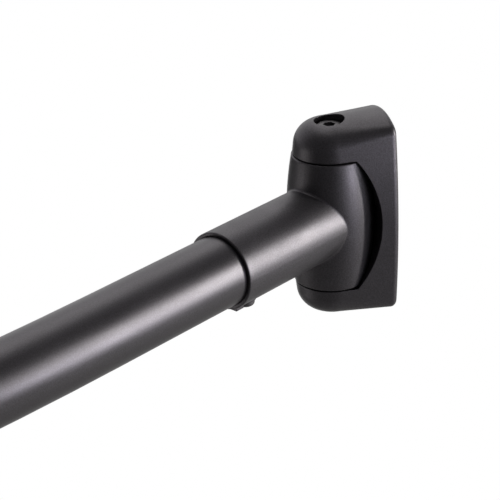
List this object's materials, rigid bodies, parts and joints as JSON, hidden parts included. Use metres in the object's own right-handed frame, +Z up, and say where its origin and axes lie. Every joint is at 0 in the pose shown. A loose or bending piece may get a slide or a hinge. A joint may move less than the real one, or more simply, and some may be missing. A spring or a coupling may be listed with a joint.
{
  "type": "curved shower curtain rod",
  "caption": "Bowed round shower curtain rod held between two walls by swivelling wall brackets with sleeves that let its length be set.",
  "frame": {"origin": "centre of the right bracket's wall face, at the height of the rod", "axes": "+X into the right-hand wall along the span, -Y towards the room, where the rod bows, +Z up"},
  "size_m": [1.524, 0.2784, 0.0764],
  "materials": {
    "painted_tube": "satin",
    "cast_zinc_finish": "satin",
    "black_screw": "satin",
    "plated_steel": "satin",
    "nylon": "matte"
  },
  "bodies": {
    "right_bracket": {"right_bracket_housing": "cast_zinc_finish", "right_wall_plate": "plated_steel", "right_pivot_bolt": "black_screw", "right_spring_washer": "black_screw", "right_housing_grub_screw": "black_screw"},
    "left_bracket": {"left_bracket_housing": "cast_zinc_finish", "left_wall_plate": "plated_steel", "left_pivot_bolt": "black_screw", "left_spring_washer": "black_screw", "left_housing_grub_screw": "black_screw"},
    "right_fitting": {"right_swivel_fitting": "cast_zinc_finish", "right_upper_bush": "nylon", "right_lower_bush": "nylon", "right_lock_screw": "black_screw", "right_set_screw": "black_screw"},
    "left_fitting": {"left_swivel_fitting": "cast_zinc_finish", "left_upper_bush": "nylon", "left_lower_bush": "nylon", "left_lock_screw": "black_screw", "left_set_screw": "black_screw"},
    "rod": {"rod_tube": "painted_tube"}
  },
  "joints": [
    {"name": "right_swivel", "type": "hinge", "parent": "right_bracket", "child": "right_fitting", "pos_m": [-0.0211, 0, 0], "axis": [0, 0, 1], "range_deg": [-117.5, 52.5]},
    {"name": "right_slide", "type": "slide", "parent": "right_fitting", "child": "rod", "axis": [0.8434, 0.5373, 0], "range_m": [-0.015, 0.01]},
    {"name": "left_slide", "type": "slide", "parent": "rod", "child": "left_fitting", "axis": [-0.8434, 0.5373, 0], "range_m": [-0.01, 0.015]},
    {"name": "left_swivel", "type": "hinge", "parent": "left_fitting", "child": "left_bracket", "pos_m": [-1.5029, 0, 0], "axis": [0, 0, 1], "range_deg": [-117.5, 52.5]}
  ]
}
